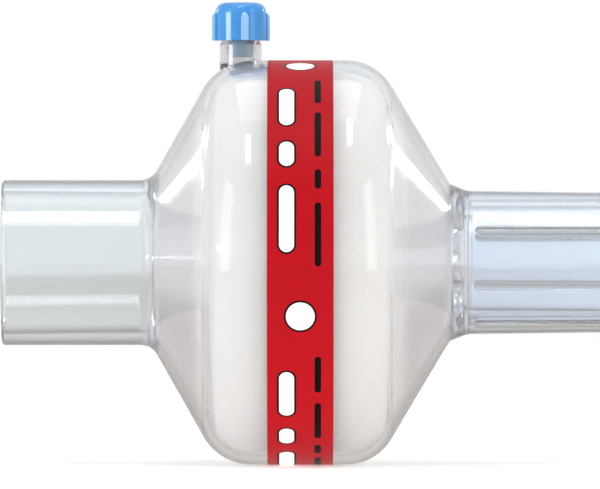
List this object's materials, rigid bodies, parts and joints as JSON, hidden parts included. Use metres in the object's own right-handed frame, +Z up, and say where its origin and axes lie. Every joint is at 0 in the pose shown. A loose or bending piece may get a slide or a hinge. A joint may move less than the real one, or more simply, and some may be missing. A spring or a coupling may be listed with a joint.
{
  "type": "breathing circuit filter",
  "caption": "Clear round heat and moisture exchanging filter for a breathing circuit, with a wide socket port, a coaxial patient port and a blue capped sampling port.",
  "frame": {"origin": "centre of the patient port's mouth, on the common axis of both ports", "axes": "+X out of the patient port along the gas path, +Z up along the sampling port, +Y away from the viewer"},
  "size_m": [0.095, 0.0632, 0.0722],
  "materials": {
    "clear_plastic": "polished clear moulding",
    "white_felt": "fine felt",
    "cream_foam": "fine open foam",
    "red_film": "printed film, satin",
    "blue_plastic": "glossy moulding"
  },
  "bodies": {
    "filter": {"machine_side_shell": "clear_plastic", "patient_side_shell": "clear_plastic", "filter_fleece": "white_felt", "moisture_foam": "cream_foam", "label_band": "red_film"},
    "cap": {"sampling_port_cap": "blue_plastic"}
  },
  "joints": [
    {"name": "cap_lift", "type": "slide", "parent": "filter", "child": "cap", "axis": [0, 0, 1], "range_m": [0, 0.012]}
  ]
}
